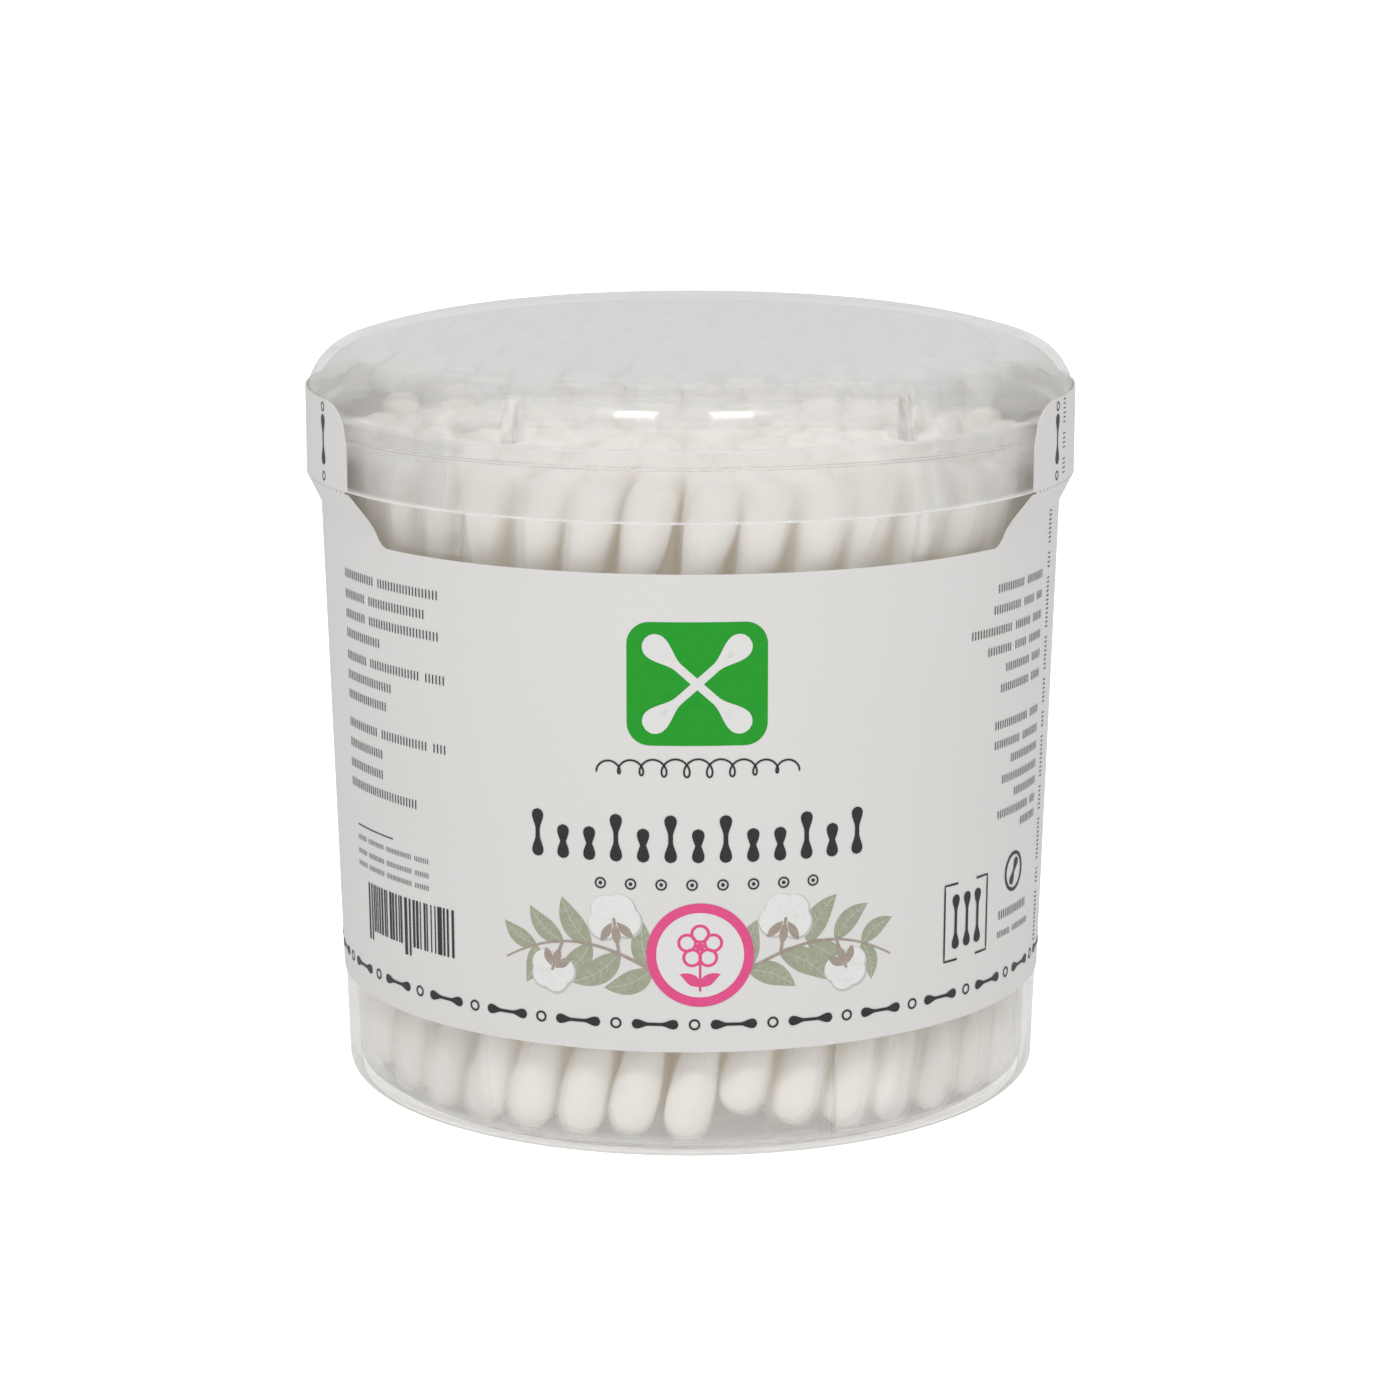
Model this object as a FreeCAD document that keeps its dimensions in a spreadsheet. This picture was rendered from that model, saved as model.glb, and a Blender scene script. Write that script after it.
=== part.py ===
import FreeCAD, Part
import Sketcher
import math
import os

# Cotton swab tub in millimetres: a clear drafted cup, a clear lift-off lid, a white sleeve label with
# two seal ears, and the swabs that stand in it. +Z is up, the front is -Y and the origin is the centre
# of the base. Angles named "from the front" are positive towards +X.

SIZES = [
    ("tub_base_radius", 39.46, "outer radius of the drafted wall, carried down to the base plane"),
    ("tub_rim_radius", 41.76, "outer radius of the drafted wall at the rim"),
    ("headroom", 2.5, "how far the rim stands above an upright swab that rests on the floor"),
    ("tub_wall", 1.2, "wall thickness"),
    ("floor_thickness", 1.2, "floor, measured from the base plane"),
    ("foot_width", 2.2, "ring that the tub stands on"),
    ("foot_recess", 0.4, "hollow under the floor, inside the foot ring"),
    ("base_round", 1.5, "round of the lower outside edge"),
    ("base_runs", 2, "straight runs that the lower edge's round is drawn in"),
    ("floor_bevel", 0.9, "bevel where the wall meets the floor"),
    ("rim_band_height", 1.5, "thicker band at the rim that the lid grips"),
    ("rim_band_out", 0.18, "how far the band stands out of the wall"),
    ("tub_rib_count", 3, "upright ribs inside, which keep nested tubs apart"),
    ("tub_rib_angle", 22.8, "first rib, degrees from the front"),
    ("tub_rib_width", 1.3, "rib across"),
    ("tub_rib_depth", 0.7, "rib inwards from the wall"),
    ("tub_rib_height", 26.0, "rib above the floor"),
    ("skirt_gap", 0.06, "clearance between the skirt and the rim band"),
    ("lid_wall", 1.0, "wall thickness of the lid"),
    ("skirt_overlap", 7.5, "how far the skirt reaches below the tub's rim"),
    ("skirt_above_rim", 0.7, "straight skirt above the rim, up to the shoulder"),
    ("shoulder_round", 6.4, "radius of the shoulder in section"),
    ("shoulder_runs", 3, "straight runs that the shoulder is drawn in"),
    ("crown_rise", 2.4, "crown above the shoulder's circle"),
    ("crown_flat_radius", 20.8, "flat middle of the crown"),
    ("crown_runs", 2, "straight runs that the crown's round is drawn in"),
    ("lid_rib_count", 6, "stop ribs inside the lid"),
    ("lid_rib_angle", 33.0, "first stop rib, degrees from the front"),
    ("lid_rib_width", 1.1, "stop rib across"),
    ("lid_rib_depth", 1.7, "stop rib inwards from the skirt"),
    ("seat_gap", 0.1, "clearance where one piece stands on another"),
    ("label_bottom", 12.1, "lower edge of the sleeve"),
    ("label_top", 63.9, "upper edge of the sleeve at the front"),
    ("label_thickness", 0.15, "printed film with its adhesive"),
    ("label_gap", 0.05, "clearance under the film"),
    ("seam_width", 0.7, "butt seam at the back"),
    ("film_flats", 72, "narrow flats that the film is laid in round the wall"),
    ("bridge_height", 3.2, "film that leans out from the wall to the skirt"),
    ("tear_gap", 0.25, "tear line between the sleeve and a seal tab"),
    ("ear_half_angle", 31.0, "half the width of an ear, degrees"),
    ("ear_step_width", 4.3, "slope beside an ear, seen from the front"),
    ("ear_height", 9.4, "seal tab above its tear line"),
    ("ear_corner", 4.5, "round of a seal tab's upper corners"),
    ("ear_corner_runs", 3, "straight runs that such a corner is drawn in"),
    ("swab_count", 200, "swabs in the pack"),
    ("swab_length", 73.0, "end to end"),
    ("stick_diameter", 2.3, "stick"),
    ("head_diameter", 4.9, "cotton head at its widest"),
    ("head_end_diameter", 3.0, "blunt end of the head"),
    ("packed_end_diameter", 4.4, "end of an inner head, drawn as one taper"),
    ("head_length", 14.0, "head, end to stick"),
    ("head_widest", 3.4, "from the end to the widest place"),
    ("head_gap", 0.1, "clearance between heads of one ring"),
    ("ring_gap", 0.09, "clearance between rings of heads"),
    ("wall_gap", 0.1, "clearance between heads and the tub's wall"),
    ("outer_ring_slack", 0.13, "share of the outer ring left open, as the front shows it"),
    ("foot_sway", 0.5, "share of the open space that a swab's foot wanders each way"),
    ("top_sway", 0.8, "the same for its upper end, which is free"),
    ("bundle_twist", 24.0, "turn of the bundle from floor to top, degrees"),
    ("lift_range", 3.0, "how much higher the highest swab stands"),
    ("lift_evenness", 3.0, "power that keeps most swabs near the floor"),
    ("loose_sides", 6, "sides of a swab in the outer ring"),
    ("packed_sides", 4, "sides of an inner swab"),
]

# Places that follow from the sizes. Each formula may use the sizes and the places above it.
PLACES = [
    ("swab_floor_z", "sizes.floor_thickness + sizes.seat_gap"),
    ("tub_height", "swab_floor_z + sizes.swab_length + sizes.headroom"),
    ("wall_slope", "(sizes.tub_rim_radius - sizes.tub_base_radius) / tub_height"),
    ("slope_length", "sqrt(1 + wall_slope ^ 2)"),
    (
        "round_centre_r",
        "sizes.tub_base_radius + wall_slope * sizes.base_round - sizes.base_round * slope_length",
    ),
    ("round_end_r", "round_centre_r + sizes.base_round / slope_length"),
    ("round_end_z", "sizes.base_round - sizes.base_round * wall_slope / slope_length"),
    ("foot_inner_r", "round_centre_r - sizes.foot_width"),
    ("band_z", "tub_height - sizes.rim_band_height"),
    ("band_wall_r", "sizes.tub_base_radius + wall_slope * band_z"),
    ("band_r", "sizes.tub_rim_radius + sizes.rim_band_out"),
    ("tub_inner_rim_r", "sizes.tub_rim_radius - sizes.tub_wall"),
    ("bevel_z", "sizes.floor_thickness + sizes.floor_bevel"),
    ("bevel_r", "sizes.tub_base_radius + wall_slope * bevel_z - sizes.tub_wall"),
    ("floor_r", "bevel_r - sizes.floor_bevel"),
    ("rib_root_z", "sizes.floor_thickness / 2"),
    ("rib_top_z", "sizes.floor_thickness + sizes.tub_rib_height"),
    ("rib_root_low_r", "sizes.tub_base_radius + wall_slope * rib_root_z - sizes.tub_wall / 2"),
    ("rib_root_top_r", "sizes.tub_base_radius + wall_slope * rib_top_z - sizes.tub_wall / 2"),
    ("rib_face_low_r", "rib_root_low_r - sizes.tub_wall / 2 - sizes.tub_rib_depth"),
    ("rib_face_top_r", "rib_root_top_r - sizes.tub_wall / 2 - sizes.tub_rib_depth"),
    ("rib_slant_z", "rib_top_z - sizes.tub_rib_depth"),
    ("rib_slant_r", "rib_face_top_r - wall_slope * sizes.tub_rib_depth"),
    ("lid_inner_r", "band_r + sizes.skirt_gap"),
    ("lid_r", "lid_inner_r + sizes.lid_wall"),
    ("skirt_z", "tub_height - sizes.skirt_overlap"),
    ("shoulder_z", "tub_height + sizes.skirt_above_rim"),
    ("shoulder_r", "lid_r - sizes.shoulder_round"),
    ("lid_top_z", "shoulder_z + sizes.shoulder_round + sizes.crown_rise"),
    ("lid_under_z", "lid_top_z - sizes.lid_wall"),
    ("crown_span", "shoulder_r - sizes.crown_flat_radius"),
    ("crown_above", "lid_top_z - shoulder_z"),
    (
        "crown_round",
        "(crown_span ^ 2 + crown_above ^ 2 - sizes.shoulder_round ^ 2) / (2 * sizes.crown_rise)",
    ),
    ("crown_centre_z", "lid_top_z - crown_round"),
    ("shoulder_inner_round", "sizes.shoulder_round - sizes.lid_wall"),
    ("crown_inner_round", "crown_round - sizes.lid_wall"),
    ("crown_reach", "crown_round - sizes.shoulder_round"),
    ("join_r", "sizes.crown_flat_radius + crown_span * crown_round / crown_reach"),
    ("join_z", "crown_centre_z + (shoulder_z - crown_centre_z) * crown_round / crown_reach"),
    ("join_inner_r", "sizes.crown_flat_radius + crown_span * crown_inner_round / crown_reach"),
    ("join_inner_z", "crown_centre_z + (shoulder_z - crown_centre_z) * crown_inner_round / crown_reach"),
    ("stop_z", "tub_height + sizes.seat_gap"),
    ("stop_root_r", "lid_r - sizes.lid_wall / 2"),
    ("stop_round", "sizes.shoulder_round - sizes.lid_wall / 2"),
    ("stop_face_r", "lid_inner_r - sizes.lid_rib_depth"),
    ("stop_top_z", "shoulder_z + sqrt(stop_round ^ 2 - (stop_face_r - shoulder_r) ^ 2)"),
    ("bridge_top_z", "skirt_z - sizes.tear_gap / 2"),
    ("bridge_z", "bridge_top_z - sizes.bridge_height"),
    ("film_lid_r", "lid_r + sizes.label_gap"),
    ("film_lid_out_r", "film_lid_r + sizes.label_thickness"),
    ("to_corner", "1 / cos(180 / sizes.film_flats)"),
    ("film_foot_r", "sizes.tub_base_radius + sizes.label_gap"),
    ("film_low_in", "(film_foot_r + wall_slope * sizes.label_bottom) * to_corner"),
    ("film_bridge_in", "(film_foot_r + wall_slope * bridge_z) * to_corner"),
    ("film_top_in", "film_lid_r * to_corner"),
    ("film_low_out", "film_low_in + sizes.label_thickness"),
    ("film_bridge_out", "film_bridge_in + sizes.label_thickness"),
    ("film_top_out", "film_top_in + sizes.label_thickness"),
    ("ear_edge_x", "film_lid_r * cos(sizes.ear_half_angle)"),
    ("ear_edge_y", "film_lid_r * sin(sizes.ear_half_angle)"),
    ("window_half", "ear_edge_x - sizes.ear_step_width"),
    ("above_all_z", "lid_top_z + sizes.lid_wall"),
    ("seam_y", "sizes.tub_base_radius / 2"),
    ("below_ear_z", "bridge_z - sizes.bridge_height"),
    ("tab_low_z", "bridge_top_z + sizes.tear_gap"),
    ("tab_top_z", "tab_low_z + sizes.ear_height"),
    ("tab_corner_z", "tab_top_z - sizes.ear_corner"),
    ("tab_corner_y", "ear_edge_y - sizes.ear_corner"),
    ("tab_blank_reach", "film_lid_out_r + sizes.lid_wall"),
    ("clear_r", "tab_blank_reach + ear_edge_y"),
]


def fill_sheets(doc):
    """Write the driving sizes as plain numbers and the places as formulas of them."""
    sizes = doc.addObject("Spreadsheet::Sheet", "sizes")
    for row, (alias, number, meaning) in enumerate(SIZES, start=1):
        sizes.set(f"A{row}", alias)
        sizes.set(f"B{row}", str(number))
        sizes.set(f"C{row}", meaning)
        sizes.setAlias(f"B{row}", alias)
    doc.recompute()
    places = doc.addObject("Spreadsheet::Sheet", "places")
    for row, (alias, formula) in enumerate(PLACES, start=1):
        places.set(f"A{row}", alias)
        places.set(f"B{row}", f"={formula}")
        places.setAlias(f"B{row}", alias)
        doc.recompute()
    return sizes


def coordinate(doc, text):
    """Read a coordinate such as sizes.tub_wall, -places.window_half or 0 as a number."""
    sign = -1.0 if text.startswith("-") else 1.0
    name = text.lstrip("-")
    if name == "0":
        return 0.0
    sheet, alias = name.split(".")
    return sign * float(doc.getObject(sheet).get(alias))


def new_body(doc, label):
    body = doc.addObject("PartDesign::Body", label)
    body.Label = label
    return body


def origin_feature(body, role):
    return next(item for item in body.Origin.OriginFeatures if item.Role == role)


def new_sketch(body, name, plane_role):
    sketch = body.newObject("Sketcher::SketchObject", name)
    sketch.AttachmentSupport = [(origin_feature(body, plane_role), "")]
    sketch.MapMode = "FlatFace"
    return sketch


def bind_coordinate(sketch, kind, edge, end, text):
    """Tie one coordinate of an edge's end to its sheet cell, measured from the sketch's origin."""
    if text == "0":
        axis = -2 if kind == "DistanceX" else -1
        sketch.addConstraint(Sketcher.Constraint("PointOnObject", edge, end, axis))
        return
    size = abs(coordinate(sketch.Document, text))
    if text.startswith("-"):
        rule = Sketcher.Constraint(kind, edge, end, -1, 1, size)
    else:
        rule = Sketcher.Constraint(kind, -1, 1, edge, end, size)
    index = sketch.addConstraint(rule)
    sketch.setExpression(f"Constraints[{index}]", text.lstrip("-"))


def round_points(doc, corner, here, there):
    """The arc of a round edge, whether it turns left, and the points where its runs meet."""
    centre = FreeCAD.Vector(coordinate(doc, corner[2]), coordinate(doc, corner[3]), 0)
    radius = coordinate(doc, corner[4])
    runs = int(coordinate(doc, corner[5]))
    begin = math.atan2(here.y - centre.y, here.x - centre.x)
    turn = math.remainder(math.atan2(there.y - centre.y, there.x - centre.x) - begin, 2 * math.pi)
    circle = Part.Circle(centre, FreeCAD.Vector(0, 0, 1), radius)
    low, high = sorted((begin, begin + turn))
    angles = [begin + turn * step / runs for step in range(1, runs)]
    between = [
        centre + FreeCAD.Vector(radius * math.cos(angle), radius * math.sin(angle), 0) for angle in angles
    ]
    return Part.ArcOfCircle(circle, low, high), turn > 0, between


def add_round(sketch, corner, here, there):
    """A guide arc with equal straight runs along it: turned about an axis, the runs stay light."""
    arc, turns_left, between = round_points(sketch.Document, corner, here, there)
    guide = sketch.addGeometry(arc, True)
    bend = [here] + between + [there]
    runs = [sketch.addGeometry(Part.LineSegment(a, b), False) for a, b in zip(bend, bend[1:])]
    index = sketch.addConstraint(
        Sketcher.Constraint("Radius", guide, coordinate(sketch.Document, corner[4]))
    )
    sketch.setExpression(f"Constraints[{index}]", corner[4])
    for first, second in zip(runs, runs[1:]):
        sketch.addConstraint(Sketcher.Constraint("Coincident", first, 2, second, 1))
        sketch.addConstraint(Sketcher.Constraint("PointOnObject", first, 2, guide))
        sketch.addConstraint(Sketcher.Constraint("Equal", first, second))
    guide_start, guide_end = (1, 2) if turns_left else (2, 1)
    sketch.addConstraint(Sketcher.Constraint("Coincident", guide, guide_start, runs[0], 1))
    sketch.addConstraint(Sketcher.Constraint("Coincident", guide, guide_end, runs[-1], 2))
    return runs


def draw_outline(sketch, corners):
    """Draw a closed outline. A corner is (x, y), or (x, y, centre x, centre y, radius, runs) where
    the edge that leaves it is a round; every entry names a sheet cell."""
    doc = sketch.Document
    points = [FreeCAD.Vector(coordinate(doc, c[0]), coordinate(doc, c[1]), 0) for c in corners]
    edges = []
    for number, corner in enumerate(corners):
        here = points[number]
        there = points[(number + 1) % len(points)]
        if len(corner) == 2:
            edges.append([sketch.addGeometry(Part.LineSegment(here, there), False)])
        else:
            edges.append(add_round(sketch, corner, here, there))
    for number, corner in enumerate(corners):
        following = edges[(number + 1) % len(edges)]
        sketch.addConstraint(Sketcher.Constraint("Coincident", edges[number][-1], 2, following[0], 1))
        bind_coordinate(sketch, "DistanceX", edges[number][0], 1, corner[0])
        bind_coordinate(sketch, "DistanceY", edges[number][0], 1, corner[1])


def revolve(body, name, corners, kind="PartDesign::Revolution"):
    """Turn an outline in the XZ plane about the part's upright axis."""
    sketch = new_sketch(body, f"{name}_outline", "XZ_Plane")
    draw_outline(sketch, corners)
    body.Document.recompute()
    feature = body.newObject(kind, name)
    feature.Profile = sketch
    feature.ReferenceAxis = (sketch, ["V_Axis"])
    feature.Angle = 360
    body.Tip = feature
    body.Document.recompute()
    return feature


def rib_ring(body, name, corners, width, count):
    """Pad a rib's outline to both sides of the XZ plane and repeat it round the upright axis."""
    sketch = new_sketch(body, f"{name}_outline", "XZ_Plane")
    draw_outline(sketch, corners)
    body.Document.recompute()
    pad = body.newObject("PartDesign::Pad", name)
    pad.Profile = sketch
    pad.SideType = "Symmetric"
    pad.setExpression("Length", width)
    body.Document.recompute()
    ring = body.newObject("PartDesign::PolarPattern", f"{name}_ring")
    ring.Originals = [pad]
    ring.Axis = (origin_feature(body, "Z_Axis"), [""])
    ring.Angle = 360
    ring.setExpression("Occurrences", count)
    body.Tip = ring
    body.Document.recompute()
    return ring


def turn_about_upright(feature, degrees):
    feature.Placement = FreeCAD.Placement(
        FreeCAD.Vector(0, 0, 0), FreeCAD.Rotation(FreeCAD.Vector(0, 0, 1), degrees)
    )


def make_tub(doc, sizes):
    """The cup: drafted wall, rounded lower edge on a foot ring, rim band and nesting ribs."""
    body = new_body(doc, "tub")
    revolve(body, "tub_shell", [
        ("0", "sizes.foot_recess"),
        ("places.foot_inner_r", "sizes.foot_recess"),
        ("places.foot_inner_r", "0"),
        ("places.round_centre_r", "0", "places.round_centre_r", "sizes.base_round",
         "sizes.base_round", "sizes.base_runs"),
        ("places.round_end_r", "places.round_end_z"),
        ("places.band_wall_r", "places.band_z"),
        ("places.band_r", "places.band_z"),
        ("places.band_r", "places.tub_height"),
        ("places.tub_inner_rim_r", "places.tub_height"),
        ("places.bevel_r", "places.bevel_z"),
        ("places.floor_r", "sizes.floor_thickness"),
        ("0", "sizes.floor_thickness"),
    ])
    rib_ring(body, "nesting_rib", [
        ("places.rib_face_low_r", "places.rib_root_z"),
        ("places.rib_root_low_r", "places.rib_root_z"),
        ("places.rib_root_top_r", "places.rib_top_z"),
        ("places.rib_slant_r", "places.rib_slant_z"),
    ], "sizes.tub_rib_width", "sizes.tub_rib_count")
    turn_about_upright(body, sizes.get("tub_rib_angle") - 90)
    return body


def make_lid(doc, sizes):
    """The cap: skirt, shoulder and crown of one wall, with stop ribs that rest on the tub's rim."""
    body = new_body(doc, "lid")
    revolve(body, "lid_shell", [
        ("places.lid_inner_r", "places.skirt_z"),
        ("places.lid_r", "places.skirt_z"),
        ("places.lid_r", "places.shoulder_z", "places.shoulder_r", "places.shoulder_z",
         "sizes.shoulder_round", "sizes.shoulder_runs"),
        ("places.join_r", "places.join_z", "sizes.crown_flat_radius", "places.crown_centre_z",
         "places.crown_round", "sizes.crown_runs"),
        ("sizes.crown_flat_radius", "places.lid_top_z"),
        ("0", "places.lid_top_z"),
        ("0", "places.lid_under_z"),
        ("sizes.crown_flat_radius", "places.lid_under_z", "sizes.crown_flat_radius",
         "places.crown_centre_z", "places.crown_inner_round", "sizes.crown_runs"),
        ("places.join_inner_r", "places.join_inner_z", "places.shoulder_r", "places.shoulder_z",
         "places.shoulder_inner_round", "sizes.shoulder_runs"),
        ("places.lid_inner_r", "places.shoulder_z"),
    ])
    rib_ring(body, "stop_rib", [
        ("places.stop_face_r", "places.stop_z"),
        ("places.stop_root_r", "places.stop_z"),
        ("places.stop_root_r", "places.shoulder_z", "places.shoulder_r", "places.shoulder_z",
         "places.stop_round", "sizes.shoulder_runs"),
        ("places.stop_face_r", "places.stop_top_z"),
    ], "sizes.lid_rib_width", "sizes.lid_rib_count")
    turn_about_upright(body, sizes.get("lid_rib_angle") - 90)
    return body


def flat_sided_cone(doc, name, levels):
    """A solid lofted straight through level polygons, each given by its corner radius and height."""
    rings = []
    for number, (radius, height) in enumerate(levels, start=1):
        ring = doc.addObject("Part::RegularPolygon", f"{name}_{number}")
        ring.setExpression("Polygon", "sizes.film_flats")
        ring.setExpression("Circumradius", radius)
        ring.setExpression("Placement.Base.z", height)
        rings.append(ring)
    loft = doc.addObject("Part::Loft", name)
    loft.Sections = rings
    loft.Solid = True
    loft.Ruled = True
    return loft


def cut(doc, name, base, tool):
    result = doc.addObject("Part::Cut", name)
    result.Base = base
    result.Tool = tool
    return result


def make_label(doc):
    """The sleeve: film round the drafted wall that leans out to the skirt at the ears, with a
    window cut at the front and back and a butt seam behind."""
    outside = flat_sided_cone(doc, "film_outside", [
        ("places.film_low_out", "sizes.label_bottom"),
        ("places.film_bridge_out", "places.bridge_z"),
        ("places.film_top_out", "places.bridge_top_z"),
    ])
    inside = flat_sided_cone(doc, "film_inside", [
        ("places.film_low_in", "sizes.label_bottom"),
        ("places.film_bridge_in", "places.bridge_z"),
        ("places.film_top_in", "places.bridge_top_z"),
    ])
    outline = doc.addObject("Sketcher::SketchObject", "window_outline")
    outline.Placement = FreeCAD.Placement(
        FreeCAD.Vector(0, 0, 0), FreeCAD.Rotation(FreeCAD.Vector(1, 0, 0), 90)
    )
    draw_outline(outline, [
        ("-places.window_half", "sizes.label_top"),
        ("places.window_half", "sizes.label_top"),
        ("places.ear_edge_x", "places.bridge_top_z"),
        ("places.ear_edge_x", "places.above_all_z"),
        ("-places.ear_edge_x", "places.above_all_z"),
        ("-places.ear_edge_x", "places.bridge_top_z"),
    ])
    window = doc.addObject("Part::Extrusion", "window")
    window.Base = outline
    window.DirMode = "Custom"
    window.Dir = FreeCAD.Vector(0, 1, 0)
    window.Symmetric = True
    window.Solid = True
    window.setExpression("LengthFwd", "2 * places.clear_r")
    seam = doc.addObject("Part::Box", "seam")
    seam.setExpression("Length", "sizes.seam_width")
    seam.setExpression("Width", "places.clear_r")
    seam.setExpression("Height", "places.above_all_z")
    seam.setExpression("Placement.Base.x", "-sizes.seam_width / 2")
    seam.setExpression("Placement.Base.y", "places.seam_y")
    doc.recompute()
    sleeve = cut(doc, "sleeve", outside, inside)
    open_sleeve = cut(doc, "open_sleeve", sleeve, window)
    label = cut(doc, "label", open_sleeve, seam)
    label.Label = "label"
    doc.recompute()
    return label


def make_seal_tab(doc, label, turn):
    """The upper part of an ear: a rounded outline padded outwards, thinned to film on the skirt."""
    body = new_body(doc, label)
    outline = new_sketch(body, f"{label}_outline", "YZ_Plane")
    draw_outline(outline, [
        ("-places.ear_edge_y", "places.tab_low_z"),
        ("places.ear_edge_y", "places.tab_low_z"),
        ("places.ear_edge_y", "places.tab_corner_z", "places.tab_corner_y", "places.tab_corner_z",
         "sizes.ear_corner", "sizes.ear_corner_runs"),
        ("places.tab_corner_y", "places.tab_top_z"),
        ("-places.tab_corner_y", "places.tab_top_z", "-places.tab_corner_y", "places.tab_corner_z",
         "sizes.ear_corner", "sizes.ear_corner_runs"),
        ("-places.ear_edge_y", "places.tab_corner_z"),
    ])
    doc.recompute()
    pad = body.newObject("PartDesign::Pad", f"{label}_blank")
    pad.Profile = outline
    pad.setExpression("Length", "places.tab_blank_reach")
    body.Tip = pad
    doc.recompute()
    revolve(body, f"{label}_inside", [
        ("0", "places.below_ear_z"),
        ("places.film_lid_r", "places.below_ear_z"),
        ("places.film_lid_r", "places.above_all_z"),
        ("0", "places.above_all_z"),
    ], "PartDesign::Groove")
    revolve(body, f"{label}_outside", [
        ("places.film_lid_out_r", "places.below_ear_z"),
        ("places.clear_r", "places.below_ear_z"),
        ("places.clear_r", "places.above_all_z"),
        ("places.film_lid_out_r", "places.above_all_z"),
    ], "PartDesign::Groove")
    turn_about_upright(body, turn)
    return body


def scatter(ring, place, kind):
    """A fixed, uneven number from 0 to 1 for one swab, a different one for each kind."""
    wave = math.sin(12.9898 * ring + 78.233 * place + 241.891 * kind) * 43758.5453
    return wave - math.floor(wave)


def section(centre, radius, turn, sides):
    """A level polygon round a swab's axis. A flat faces along turn, as far out as a hexagon's."""
    corner = radius * math.cos(math.pi / 6) / math.cos(math.pi / sides)
    angles = [turn + math.pi / sides * (2 * number - 1) for number in range(sides)]
    return [
        centre + FreeCAD.Vector(corner * math.cos(angle), corner * math.sin(angle), 0)
        for angle in angles
    ]


def flat_face(points):
    return Part.Face(Part.makePolygon(points + points[:1]))


def head_profile(size, packed):
    """Places along a head as shares of the swab's length, each with the radius there."""
    neck = (size["head_length"] / size["swab_length"], size["stick_diameter"] / 2)
    if packed:
        return [(0.0, size["packed_end_diameter"] / 2), neck]
    widest = (size["head_widest"] / size["swab_length"], size["head_diameter"] / 2)
    return [(0.0, size["head_end_diameter"] / 2), widest, neck]


def swab_solid(foot, top, turns, profile, sides):
    """One swab along the line from foot to top: two faceted cotton heads joined by the stick."""
    levels = [(share, radius, turns[0]) for share, radius in profile]
    levels += [(1 - share, radius, turns[1]) for share, radius in profile[::-1]]
    sections = [
        section(foot + (top - foot) * share, radius, turn, sides) for share, radius, turn in levels
    ]
    faces = [flat_face(sections[0][::-1]), flat_face(sections[-1])]
    for step in range(len(levels) - 1):
        lower, upper = sections[step], sections[step + 1]
        twisted = levels[step][2] != levels[step + 1][2]
        for number in range(sides):
            following = (number + 1) % sides
            a, b = lower[number], lower[following]
            c, d = upper[following], upper[number]
            if twisted:
                faces += [flat_face([a, b, c]), flat_face([a, c, d])]
            else:
                faces.append(flat_face([a, b, c, d]))
    return Part.makeSolid(Part.Shell(faces))


def ring_counts(size, first_r):
    """Rings are filled from the wall inwards until the pack's count is reached."""
    step = size["head_diameter"] * math.cos(math.pi / 6) + size["ring_gap"]
    pitch = size["head_diameter"] + size["head_gap"]
    left = int(size["swab_count"])
    rings = []
    radius = first_r
    while left > 0 and radius > 0:
        if radius < pitch / 2:
            radius = 0.0
            room = 1
        else:
            room = int(math.pi / math.asin(pitch / (2 * radius)))
        if not rings:
            room = int(room * (1 - size["outer_ring_slack"]) / 3) * 3
        here = min(room, left)
        rings.append((radius, here))
        left -= here
        radius -= step
    return rings


def plan_point(radius, angle, height):
    return FreeCAD.Vector(radius * math.cos(angle), radius * math.sin(angle), height)


def ring_of_swabs(size, ring, low_r, high_r, count):
    """The swabs of one ring. They lean round the axis together and stand at uneven heights, and at
    the heads' widest level the tub's ribs lie midway between two swabs."""
    twist = math.radians(size["bundle_twist"])
    pitch = 2 * math.pi / count
    chord = math.sqrt(low_r**2 + high_r**2 - 2 * low_r * high_r * math.cos(twist))
    rise = math.sqrt(size["swab_length"] ** 2 - chord**2)
    floor_z = size["floor_thickness"] + size["seat_gap"]
    lead = twist * size["head_widest"] / size["swab_length"]
    start = math.radians(size["tub_rib_angle"] - 90) + pitch / 2 - lead
    packed = ring > 1
    profile = head_profile(size, packed)
    sides = int(size["packed_sides"] if packed else size["loose_sides"])
    spare = low_r * pitch - size["head_diameter"] - size["head_gap"]
    sway = spare / low_r if low_r > 0 else 0.0
    solids = []
    for place in range(count):
        angle = start + place * pitch
        lift = size["lift_range"] * scatter(ring, place, 1) ** size["lift_evenness"]
        low_angle = angle + size["foot_sway"] * sway * (scatter(ring, place, 2) - 0.5)
        high_angle = angle + twist + size["top_sway"] * sway * (scatter(ring, place, 3) - 0.5)
        foot = plan_point(low_r, low_angle, floor_z + lift)
        top = plan_point(high_r, high_angle, floor_z + lift + rise)
        solids.append(swab_solid(foot, top, (low_angle, high_angle), profile, sides))
    return solids


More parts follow.
